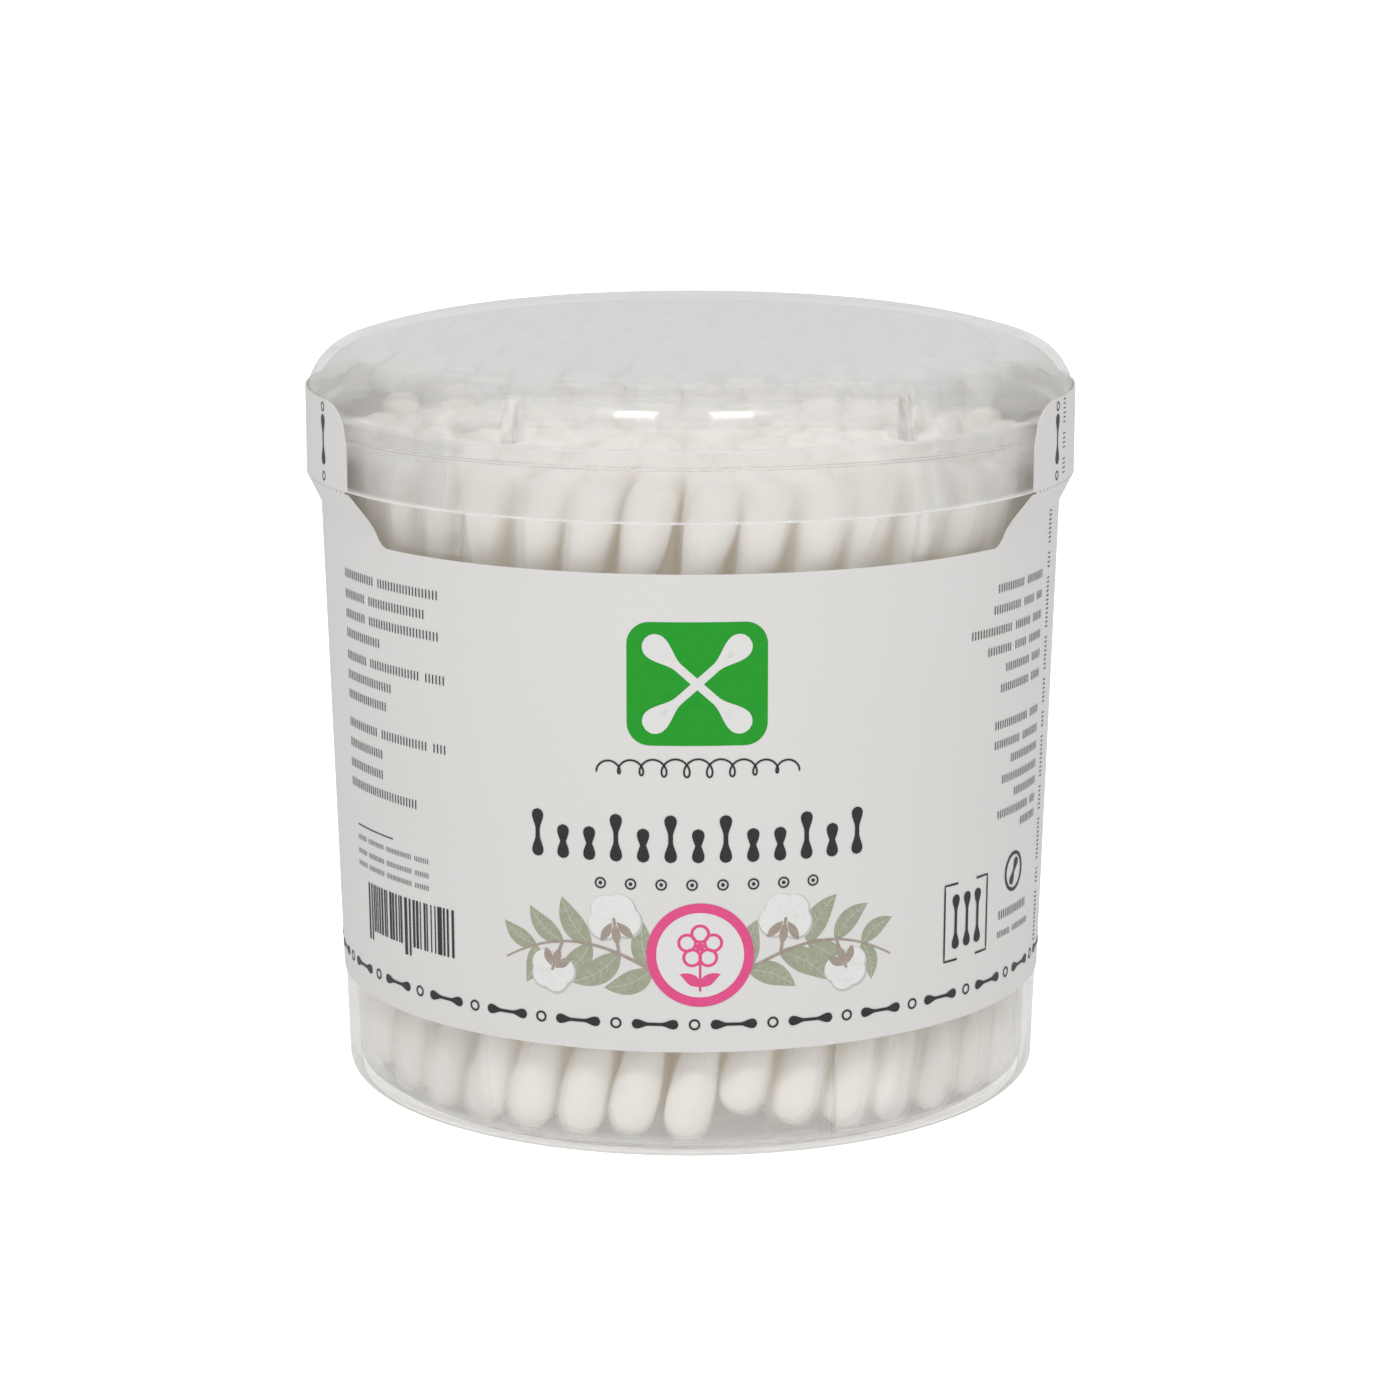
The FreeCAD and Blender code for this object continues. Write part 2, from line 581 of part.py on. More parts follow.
def make_swabs(doc, size, slope):
    """Each swab of the outer ring is a piece of its own, and each inner ring is one group."""
    inner_low = size["tub_base_radius"] - size["tub_wall"] + slope * size["floor_thickness"]
    inner_high = inner_low + slope * (size["swab_length"] - size["head_length"])
    half_flat = size["head_diameter"] / 2 * math.cos(math.pi / 6)
    first_low = inner_low - size["wall_gap"] - half_flat
    first_high = inner_high - size["wall_gap"] - half_flat
    parts = []
    for ring, (radius, count) in enumerate(ring_counts(size, first_low), start=1):
        solids = ring_of_swabs(size, ring, radius, radius * first_high / first_low, count)
        if ring == 1:
            groups = [(f"swab_{number:02d}", [solid]) for number, solid in enumerate(solids, start=1)]
        else:
            groups = [(f"swabs_ring_{ring}", solids)]
        for label, members in groups:
            part = doc.addObject("Part::Feature", label)
            part.Label = label
            part.Shape = members[0] if len(members) == 1 else Part.makeCompound(members)
            part.Placement = FreeCAD.Placement()
            parts.append(part)
    return parts


def check_and_write(doc, parts):
    """Stop on anything that failed to build, then write one file for each sub-part."""
    for item in doc.Objects:
        if "Invalid" in item.State or "Error" in item.State:
            raise RuntimeError(f"{item.Label} did not build: {item.State}")
    os.makedirs("parts", exist_ok=True)
    for part in parts:
        if part.Shape.isNull() or not part.Shape.isValid():
            raise RuntimeError(f"{part.Label} has no valid solid")
        part.Shape.exportStep(os.path.join("parts", f"{part.Label}.step"))
        print(part.Label, len(part.Shape.Solids), round(part.Shape.Volume, 2))


def main():
    doc = FreeCAD.newDocument("cotton_swab_tub")
    sizes = fill_sheets(doc)
    size = {alias: float(sizes.get(alias)) for alias, number, meaning in SIZES}
    parts = [
        make_tub(doc, sizes),
        make_lid(doc, sizes),
        make_label(doc),
        make_seal_tab(doc, "seal_tab_right", 0),
        make_seal_tab(doc, "seal_tab_left", 180),
    ]
    parts += make_swabs(doc, size, float(doc.getObject("places").get("wall_slope")))
    doc.recompute()
    check_and_write(doc, parts)


main()
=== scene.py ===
import bpy
import bmesh
import math
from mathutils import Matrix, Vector, noise


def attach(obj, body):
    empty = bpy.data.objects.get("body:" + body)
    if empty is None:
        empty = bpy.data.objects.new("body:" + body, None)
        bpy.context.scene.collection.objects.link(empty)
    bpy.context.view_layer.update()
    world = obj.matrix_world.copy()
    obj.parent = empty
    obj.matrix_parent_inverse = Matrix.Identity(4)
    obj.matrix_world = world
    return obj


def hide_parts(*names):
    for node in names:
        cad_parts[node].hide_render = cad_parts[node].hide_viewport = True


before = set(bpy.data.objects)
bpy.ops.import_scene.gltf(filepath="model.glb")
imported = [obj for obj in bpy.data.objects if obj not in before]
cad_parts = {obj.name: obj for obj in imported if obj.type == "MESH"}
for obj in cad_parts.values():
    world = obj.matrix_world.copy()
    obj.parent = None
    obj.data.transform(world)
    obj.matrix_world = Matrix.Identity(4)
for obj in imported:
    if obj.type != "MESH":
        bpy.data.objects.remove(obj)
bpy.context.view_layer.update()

# Cotton swab tub. The front is -Y, +Z is up, angles are measured from the front towards +X.
# Lengths below are in millimetres and become metres where a mesh is written.
MM = 0.001

# The cup.
TUB_HEIGHT = 76.8
BASE_RADIUS = 39.46
RIM_RADIUS = 41.76
DRAFT = (RIM_RADIUS - BASE_RADIUS) / TUB_HEIGHT
TUB_WALL = 1.2
FLOOR = 1.2
FOOT_RECESS = 0.4
FOOT_WIDTH = 2.2
BASE_ROUND = 1.5
RIM_BAND = 1.5
RIM_OUT = 0.18
TUB_RIBS = (3, 22.8, 1.3, 0.7, 26.0)  # how many, first angle, across, depth, height
TUB_RIB_R = 38.0
# The cap.
LID_RADIUS = 43.0
LID_WALL = 1.0
SKIRT_LOW = 69.3
SHOULDER_Z = 77.5
SHOULDER_ROUND = 6.4
CROWN_FLAT = 20.8
LID_TOP = 86.3
LID_RIBS = (6, 33.0, 1.1, 1.7)  # how many, first angle, across, depth
LID_RIB_R = 41.0
STOP_Z = 76.9
BEAD = 0.2  # snap bead inside the skirt, under the cup's rim band
BEAD_Z = 74.95
COLUMNS = 240  # columns of faces round the cup and the cap
# The sleeve and its ears.
LABEL_LOW = 12.1
LABEL_TOP = 63.9
FILM = 0.15
FILM_GAP = 0.05
BRIDGE_LOW = 65.975
BRIDGE_TOP = 69.175
EAR_X = 36.95
WINDOW_X = 32.65
TAB_LOW = 69.425
TAB_TOP = 78.825
TAB_HALF = 22.17
TAB_CORNER = 4.5
SKIRT_FILM_R = LID_RADIUS + FILM_GAP
TAB_HALF_ANGLE = math.degrees(math.asin(TAB_HALF / SKIRT_FILM_R))
SEAM = 0.7  # open gap of the butt seam behind, measured at the radius below
SEAM_R = 41.5
SEAM_HALF_ANGLE = math.degrees(SEAM / 2 / SEAM_R)
TIE_WIDTH = 0.74
TIE_PITCH = 1.04
SIDES = (("left", -90), ("right", 90))


# Materials.

class Value:
    """A shader socket that can be used in arithmetic."""

    def __init__(self, maker, socket):
        self.maker = maker
        self.socket = socket

    def combine(self, operation, other, swap=False):
        pair = (other, self) if swap else (self, other)
        return self.maker.node("ShaderNodeMath", {"operation": operation}, dict(enumerate(pair)))

    def __add__(self, other):
        return self.combine("ADD", other)

    def __rsub__(self, other):
        return self.combine("SUBTRACT", other, True)

    def __mul__(self, other):
        return self.combine("MULTIPLY", other)

    __radd__ = __add__
    __rmul__ = __mul__


class Finish:
    """One material, or the world's, and the nodes that it is made of."""

    def __init__(self, name, kind="materials"):
        self.material = getattr(bpy.data, kind).new(name)
        self.material.use_nodes = True
        self.tree = self.material.node_tree
        self.tree.nodes.clear()

    def node(self, kind, settings=None, inputs=None, output=0):
        """Add a node: its settings come first, then the value or link of each socket."""
        made = self.tree.nodes.new(kind)
        for name, setting in (settings or {}).items():
            setattr(made, name, setting)
        for name, value in (inputs or {}).items():
            if isinstance(value, Value):
                self.tree.links.new(value.socket, made.inputs[name])
            else:
                made.inputs[name].default_value = value
        return Value(self, made.outputs[output]) if made.outputs else None

    def place(self):
        return self.node("ShaderNodeTexCoord", output=OWN_PLACE)

    def noise(self, scale, detail, roughness, stretch=(1, 1, 1)):
        where = self.node("ShaderNodeMapping", {}, {"Vector": self.place(), "Scale": stretch})
        sockets = {"Vector": where, "Scale": scale, "Detail": detail, "Roughness": roughness}
        return self.node("ShaderNodeTexNoise", {}, sockets)

    def rise(self, height, ends, curve="LINEAR"):
        """0 at the first of two heights in millimetres and 1 at the second."""
        sockets = {"Value": height, "From Min": ends[0] * MM, "From Max": ends[1] * MM}
        return self.node("ShaderNodeMapRange", {"interpolation_type": curve}, sockets)

    def blend(self, share, first, second):
        """A mix of two colours."""
        return self.node("ShaderNodeMix", {"data_type": "RGBA"}, {0: share, 6: first, 7: second}, 2)

    def mix(self, share, first, second):
        """A mix of two shaders."""
        return self.node("ShaderNodeMixShader", {}, {0: share, 1: first, 2: second})

    def glow(self, strength, colour=(1, 1, 1, 1)):
        return self.node("ShaderNodeEmission", {}, {"Color": colour, "Strength": strength})

    def bump(self, height, strength, distance):
        sockets = {"Height": height, "Strength": strength, "Distance": distance}
        return self.node("ShaderNodeBump", {}, sockets)

    def ray(self, kind):
        """1 where the light path is of this kind, otherwise 0."""
        return self.node("ShaderNodeLightPath", output=RAYS.index(kind))

    def lights_things(self):
        """1 on a path that brings light to other things, otherwise 0."""
        return self.ray("shadow").combine("MAXIMUM", self.ray("diffuse"))

    def bare(self):
        """1 where the camera sees straight here, with no see-through surface before it."""
        layers = self.node("ShaderNodeLightPath", output=LAYERS)
        return self.ray("camera") * layers.combine("LESS_THAN", 0.5)

    def show(self, shader, kind="ShaderNodeOutputMaterial"):
        """Make this shader the material's surface. What glows in it is not treated as a lamp."""
        self.node(kind, {}, {"Surface": shader})
        if kind == "ShaderNodeOutputMaterial":
            self.material.cycles.emission_sampling = "NONE"
        return self.material


RAYS = ("camera", "shadow", "diffuse")
LAYERS = 9  # the light path's count of see-through surfaces
OWN_PLACE = 3  # the coordinates that move with the piece


def rgb(red, green, blue):
    return (red, green, blue, 1)


def clear_plastic(name, tint, haze, edge, crown=None):
    """Clear moulded plastic: faint flow marks, light that reaches what is inside, and part of the
    view straight through, as thin bright plastic shows it. From the first to the second height in
    edge an even glow is mixed in, a painted highlight; above the two heights in crown another even
    glow is mixed in, a painted sheen in place of a reflection of the studio."""
    made = Finish(name)
    flow = made.noise(60, 2, 0.5, (1, 1, 0.4))
    glass = made.node("ShaderNodeBsdfPrincipled", {}, {
        "Base Color": tint,
        "Roughness": haze + 0.02 * flow,
        "IOR": 1.5,
        "Transmission Weight": 1.0,
        "Normal": made.bump(flow, 0.05, 0.0004),
    })
    open_way = made.node("ShaderNodeBsdfTransparent", {}, {"Color": rgb(0.945, 0.942, 0.935)})
    straight = made.node("ShaderNodeBsdfTransparent", {}, {"Color": rgb(0.975, 0.975, 0.975)})
    height = made.node("ShaderNodeSeparateXYZ", {}, {"Vector": made.place()}, 2)
    view = made.mix(0.45, glass, straight)
    if crown:
        # Painted sheen: over the crown an even grey glow stands in for a reflection of the studio.
        painted_sheen = made.rise(height, crown, "SMOOTHSTEP")
        view = made.mix(0.5 * painted_sheen, view, made.glow(0.66))
    # Painted highlight: an even warm-white glow mixed in between the edge heights, so the cup's rim
    # top and the cap's skirt foot look bright.
    painted_edge_glow = made.glow(0.84, rgb(1, 0.995, 0.985))
    view = made.mix(0.55 * made.rise(height, edge), view, painted_edge_glow)
    return made.show(made.mix(made.lights_things(), view, open_way))


def label_film():
    made = Finish("label_film_print_ground")
    grain = made.noise(900, 3, 0.6)
    drift = made.noise(35, 2, 0.5)
    cockle = made.noise(55, 1, 0.4, (1, 1, 0.3))
    colour = made.blend(drift, rgb(0.725, 0.712, 0.695), rgb(0.75, 0.738, 0.722))
    return made.show(made.node("ShaderNodeBsdfPrincipled", {}, {
        "Base Color": colour,
        "Roughness": 0.36 + 0.12 * grain,
        "IOR": 1.45,
        "Normal": made.bump(cockle + 0.03 * grain, 0.12, 0.0012),
    }))


def ink(name, dark, light):
    made = Finish(name)
    grain = made.noise(1400, 2, 0.6)
    colour = made.blend(grain, dark, light)
    return made.show(made.node("ShaderNodeBsdfPrincipled", {}, {
        "Base Color": colour,
        "Roughness": 0.4 + 0.1 * grain,
        "IOR": 1.45,
    }))


def cotton():
    """Wound cotton: white fibres with soft shade between the windings, and a faint warm glow,
    painted light that brightens the heads and warms the gaps between them.
    """
    made = Finish("cotton_wound")
    fibre = made.noise(2600, 6, 0.7, (1, 1, 0.35))
    tuft = made.noise(420, 3, 0.6)
    colour = made.blend(tuft, rgb(0.90, 0.882, 0.85), rgb(0.94, 0.928, 0.905))
    return made.show(made.node("ShaderNodeBsdfPrincipled", {}, {
        "Base Color": colour,
        "Roughness": 0.92,
        "Specular IOR Level": 0.1,
        "Sheen Weight": 0.35,
        "Sheen Roughness": 0.5,
        "Subsurface Weight": 0.3,
        "Subsurface Radius": (1.0, 0.85, 0.7),
        "Subsurface Scale": 0.0015,
        # Painted light: the cotton glows faintly warm, so the heads inside the cup look brighter
        # and the gaps between them cream.
        "Emission Color": rgb(1.0, 0.87, 0.68),
        "Emission Strength": 0.075,
        "Normal": made.bump(0.6 * fibre + 0.4 * tuft, 0.7, 0.0003),
    }))


# The first pair of heights marks where each part gets its painted highlight glow, the cup's rim top
# and the cap's skirt foot; the cap's second pair marks its crown, where the painted sheen is mixed
# in.
TUB_PLASTIC = clear_plastic("tub_plastic_clear", rgb(0.995, 0.995, 0.995), 0.02, (76.5, 76.72))
LID_PLASTIC = clear_plastic("lid_plastic_clear", rgb(0.985, 0.99, 1.0), 0.04, (69.6, 69.4),
                            (83.3, 84.3))
FILM_WHITE = label_film()
COTTON = cotton()
INK_BLACK = ink("ink_black", rgb(0.012, 0.012, 0.013), rgb(0.03, 0.03, 0.03))
INK_GREEN = ink("ink_green", rgb(0.0, 0.30, 0.004), rgb(0.004, 0.36, 0.012))
INK_PINK = ink("ink_pink", rgb(0.72, 0.06, 0.22), rgb(0.82, 0.085, 0.28))
INK_WHITE = ink("ink_white", rgb(0.74, 0.735, 0.72), rgb(0.78, 0.775, 0.765))
INK_TUFT = ink("ink_cotton_picture", rgb(0.74, 0.735, 0.72), rgb(0.84, 0.84, 0.83))
INK_TUFT_SHADE = ink("ink_cotton_shade", rgb(0.50, 0.50, 0.49), rgb(0.58, 0.58, 0.565))
INK_LEAF = ink("ink_leaf", rgb(0.28, 0.31, 0.21), rgb(0.43, 0.45, 0.34))
INK_VEIN = ink("ink_leaf_vein", rgb(0.50, 0.51, 0.42), rgb(0.55, 0.56, 0.47))
INK_BARK = ink("ink_pod", rgb(0.28, 0.22, 0.18), rgb(0.47, 0.40, 0.35))


# Shapes.

def point(radius, degrees, height):
    """A place at an angle from the front, in metres."""
    turn = math.radians(degrees)
    return Vector((radius * math.sin(turn), -radius * math.cos(turn), height)) * MM


def piece(name, vertices, faces, material, body, nodes=(), smooth=True):
    mesh = bpy.data.meshes.new(name)
    mesh.from_pydata([tuple(v) for v in vertices], [], faces)
    mesh.validate()
    mesh.materials.append(material)
    work = bmesh.new()
    work.from_mesh(mesh)
    bmesh.ops.recalc_face_normals(work, faces=work.faces)
    work.to_mesh(mesh)
    work.free()
    if smooth:
        mesh.shade_smooth()
    made = bpy.data.objects.new(name, mesh)
    bpy.context.scene.collection.objects.link(made)
    if nodes:
        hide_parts(*nodes)
    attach(made, body)
    return made


def keep_edges(made, degrees):
    """Shade smooth but keep corners that turn more than this."""
    limit = math.radians(degrees)
    mesh = made.data
    work = bmesh.new()
    work.from_mesh(mesh)
    for edge in work.edges:
        if len(edge.link_faces) == 2 and edge.calc_face_angle(0) > limit:
            edge.smooth = False
    work.to_mesh(mesh)
    work.free()


def turned(outline_at, angles):
    """A closed ring-shaped skin: outline_at(angle) gives (radius, height) points whose first and
    last lie on the axis; each outline has as many points as the others."""
    outlines = [outline_at(angle) for angle in angles]
    count = len(outlines[0])
    vertices = [point(0, 0, outlines[0][0][1])]
    for angle, outline in zip(angles, outlines):
        vertices += [point(r, angle, z) for r, z in outline[1:-1]]
    vertices.append(point(0, 0, outlines[0][-1][1]))
    last = len(vertices) - 1
    inner = count - 2
    faces = []
    for column in range(len(angles)):
        here = 1 + column * inner
        there = 1 + (column + 1) % len(angles) * inner
        faces.append((0, here, there))
        for row in range(inner - 1):
            faces.append((here + row, here + row + 1, there + row + 1, there + row))
        faces.append((here + inner - 1, last, there + inner - 1))
    return vertices, faces


def arc(centre_r, centre_z, radius, start, end, steps):
    """Points along a round of an outline, from one angle to another, in degrees."""
    points = []
    for step in range(steps + 1):
        turn = math.radians(start + (end - start) * step / steps)
        points.append((centre_r + radius * math.cos(turn), centre_z + radius * math.sin(turn)))
    return points


def rib_angles(ribs, radius, columns):
    """Even columns round the axis, with a close pair of columns at each side of every rib."""
    count, first, across = ribs[:3]
    half = math.degrees(across / 2 / radius)
    side = 0.12  # degrees over which a rib's side falls
    angles = []
    for number in range(count):
        middle = first + 360 * number / count
        angles += [middle - half - side, middle - half, middle + half, middle + half + side]
        clear = half + side
        for step in range(1, columns // count):
            angles.append(middle + clear + (360 / count - 2 * clear) * step / (columns // count))
    return sorted(angle % 360 for angle in angles)


def on_rib(ribs, radius, angle):
    """Whether this angle is on one of the ribs."""
    count, first, across = ribs[:3]
    half = math.degrees(across / 2 / radius)
    away = (angle - first + 180 / count) % (360 / count) - 180 / count
    return abs(away) <= half + 0.01


def wall_r(height):
    """The cup's outer radius at a height."""
    return BASE_RADIUS + DRAFT * height


def tub_outline(angle):
    """From the middle of the underside out, up the wall, over the rim and down inside."""
    depth, high = TUB_RIBS[3:]
    foot_r = wall_r(BASE_ROUND) - BASE_ROUND
    line = [(r, FOOT_RECESS) for r in (0, 10, 25, foot_r - FOOT_WIDTH - 0.3)]
    line += [(foot_r - FOOT_WIDTH, 0.15), (foot_r - FOOT_WIDTH + 0.2, 0.0)]
    line += arc(foot_r, BASE_ROUND, BASE_ROUND, -90, 0, 8)
    line += [(wall_r(z), z) for z in (4, 8, 12, 20, 30, 40, 50, 60, 68, 73)]
    band = TUB_HEIGHT - RIM_BAND
    out = RIM_RADIUS + RIM_OUT
    line += [(wall_r(band - 0.05), band - 0.05), (out - 0.04, band), (out, band + 0.1)]
    line += arc(out - 0.3, TUB_HEIGHT - 0.3, 0.3, 0, 90, 4)
    line += arc(RIM_RADIUS - TUB_WALL + 0.25, TUB_HEIGHT - 0.25, 0.25, 90, 180, 4)
    line += [(wall_r(z) - TUB_WALL, z) for z in (74, 70, 60, 50, 40, 34, 29, 28.2)]
    top = FLOOR + high
    in_by = depth if on_rib(TUB_RIBS, TUB_RIB_R, angle) else 0.0
    for z, share in ((top, 0.0), (top - 0.15, 0.45), (top - depth, 1.0), (18, 1), (10, 1), (5, 1)):
        line.append((wall_r(z) - TUB_WALL - share * in_by, z))
    corner = wall_r(2.1) - TUB_WALL - 0.9
    for r, z in arc(corner, FLOOR + 0.9, 0.9, 0, -90, 6):
        line.append((min(r, wall_r(z) - TUB_WALL - in_by), z))
    line += [(corner - 1.2, FLOOR), (30, FLOOR), (18, FLOOR), (8, FLOOR), (0, FLOOR)]
    return line


def lid_arcs(inset):
    """The shoulder and crown of the cap as one line, a wall's depth in or not."""
    shoulder_r = LID_RADIUS - SHOULDER_ROUND
    rise = LID_TOP - SHOULDER_Z
    span = shoulder_r - CROWN_FLAT
    crown = (span**2 + rise**2 - SHOULDER_ROUND**2) / (2 * (rise - SHOULDER_ROUND))
    centre_z = LID_TOP - crown
    lean = math.degrees(math.atan2(SHOULDER_Z - centre_z, span))
    shoulder = arc(shoulder_r, SHOULDER_Z, SHOULDER_ROUND - inset, 0, lean, 14)
    top = arc(CROWN_FLAT, centre_z, crown - inset, lean, 90, 10)
    return shoulder + top[1:]


def lid_outline(angle):
    """From the middle of the top out and down the skirt, round its edge and up inside."""
    depth = LID_RIBS[3]
    inner_r = LID_RADIUS - LID_WALL
    # A shallow moulding mark in the middle of the crown: radius, and how far it dips.
    dips = ((0, 0.01), (1.2, 0.01), (1.35, 0.035), (1.5, 0.035), (1.65, 0.01), (2.4, 0))
    line = [(r, LID_TOP - dip) for r, dip in dips + ((5, 0), (8, 0), (14, 0))]
    line += lid_arcs(0.0)[::-1]
    line += [(LID_RADIUS, 75), (LID_RADIUS, 72)]
    line += arc(LID_RADIUS - 0.3, SKIRT_LOW + 0.3, 0.3, 0, -90, 4)
    line += arc(inner_r + 0.3, SKIRT_LOW + 0.3, 0.3, -90, -180, 4)
    line += [(inner_r, 72), (inner_r, BEAD_Z - BEAD)]
    line += arc(inner_r, BEAD_Z, BEAD, -90, -270, 6)[1:]
    face = inner_r - depth
    under = lid_arcs(LID_WALL)
    raised = on_rib(LID_RIBS, LID_RIB_R, angle)
    line.append((inner_r, STOP_Z - 0.02))
    line.append((inner_r - 0.3, STOP_Z) if raised else (inner_r, STOP_Z))
    if raised:
        line.append((face + 0.15, STOP_Z))
        line += [(min(r, face), z) for r, z in under]
    else:
        line.append((inner_r, STOP_Z + 0.1))
        line += under
    line += [(r, LID_TOP - LID_WALL) for r in (14, 8, 0)]
    return line


# Cup and cap.

vertices, faces = turned(tub_outline, rib_angles(TUB_RIBS, TUB_RIB_R, COLUMNS))
tub = piece("tub_cup", vertices, faces, TUB_PLASTIC, "tub", ["tub"])
keep_edges(tub, 40)
vertices, faces = turned(lid_outline, rib_angles(LID_RIBS, LID_RIB_R, COLUMNS))
lid = piece("lid_cap", vertices, faces, LID_PLASTIC, "lid", ["lid"])
keep_edges(lid, 40)


# Sleeve and seal tabs.

def film_r(height):
    """Outer face of the film: along the drafted wall, then out over the skirt's edge."""
    low = wall_r(min(height, BRIDGE_LOW)) + FILM_GAP
    share = min(max((height - BRIDGE_LOW) / (BRIDGE_TOP - BRIDGE_LOW), 0), 1)
    return low + (SKIRT_FILM_R - low) * share + FILM


def label_top_at(angle):
    """The upper edge runs level at the front and back and climbs beside each ear."""
    across = abs(math.sin(math.radians(angle)))
    start = WINDOW_X / film_r(LABEL_TOP)
    end = EAR_X / film_r(BRIDGE_TOP)
    share = min(max((across - start) / (end - start), 0), 1)
    bend = 0.4  # share of the climb that is curved, at its foot
    share = share**2 / (2 * bend) if share < bend else share - bend / 2
    return LABEL_TOP + (BRIDGE_TOP - LABEL_TOP) * share / (1 - bend / 2)


def skin(name, columns, rows_at, material, body, nodes):
    """A closed film of even thickness over a grid of columns; rows_at gives a column's heights."""
    rows = len(rows_at(columns[0]))
    vertices = []
    for inset in (0.0, FILM):
        for angle in columns:
            vertices += [point(film_r(z) - inset, angle, z) for z in rows_at(angle)]
    back = len(columns) * rows
    faces = []
    last = (len(columns) - 1) * rows
    for column in range(len(columns) - 1):
        for row in range(rows - 1):
            a = column * rows + row
            faces.append((a, a + rows, a + rows + 1, a + 1))
            faces.append((back + a, back + a + 1, back + a + rows + 1, back + a + rows))
        for a in (column * rows, column * rows + rows - 1):
            faces.append((a, a + rows, back + a + rows, back + a))
    for edge in (0, last):
        for a in range(edge, edge + rows - 1):
            faces.append((a, a + 1, back + a + 1, back + a))
    keep_edges(piece(name, vertices, faces, material, body, nodes), 50)


def label_rows(angle):
    """Heights of a column of the sleeve: up the wall, then out to the skirt."""
    top = label_top_at(angle)
    rows = [LABEL_LOW + (min(top, BRIDGE_LOW) - LABEL_LOW) * step / 24 for step in range(25)]
    above = max(top - BRIDGE_LOW, 0.0)
    base = rows[-1]
    rows += [base + above * step / 4 + 0.001 * step for step in range(1, 5)]
    return rows


def tab_rows(middle):
    """Heights of a column of a seal tab, whose upper corners are round."""
    def rows(angle):
        across = SKIRT_FILM_R * abs(math.sin(math.radians(angle - middle)))
        into = max(across - (TAB_HALF - TAB_CORNER), 0)
        drop = TAB_CORNER - math.sqrt(max(TAB_CORNER**2 - min(into, TAB_CORNER) ** 2, 0))
        top = TAB_TOP - drop
        return [TAB_LOW + (top - TAB_LOW) * step / 10 for step in range(11)]
    return rows


def tear_ties(side, middle):
    """Small bridges of film across the tear line, as the perforation leaves them."""
    outer = film_r(BRIDGE_TOP)
    width, pitch = math.degrees(TIE_WIDTH / outer), math.degrees(TIE_PITCH / outer)
    count = int((2 * TAB_HALF_ANGLE - width) / pitch)
    start = middle - pitch * (count - 1) / 2
    vertices, faces = [], []
    for number in range(count):
        a = start + pitch * number - width / 2
        base = len(vertices)
        for z in (BRIDGE_TOP - 0.02, TAB_LOW - 0.015):
            for radius in (outer - 0.005, outer - FILM):
                vertices += [point(radius, a, z), point(radius, a + width, z)]
        quads = ((0, 1, 5, 4), (2, 6, 7, 3), (0, 2, 3, 1), (4, 5, 7, 6), (0, 4, 6, 2), (1, 3, 7, 5))
        faces += [tuple(base + corner for corner in quad) for quad in quads]
    piece(f"tear_ties_{side}", vertices, faces, FILM_WHITE, "tub", smooth=False)


turns = [-180 + SEAM_HALF_ANGLE + (360 - 2 * SEAM_HALF_ANGLE) * step / 360 for step in range(361)]
skin("label_sleeve", turns, label_rows, FILM_WHITE, "tub", ["label"])
for side, middle in SIDES:
    turns = [middle - TAB_HALF_ANGLE + 2 * TAB_HALF_ANGLE * step / 60 for step in range(61)]
    skin(f"seal_tab_{side}_film", turns, tab_rows(middle), FILM_WHITE, "lid",
         [f"seal_tab_{side}"])
for side, middle in SIDES:
    tear_ties(side, middle)


# Print.

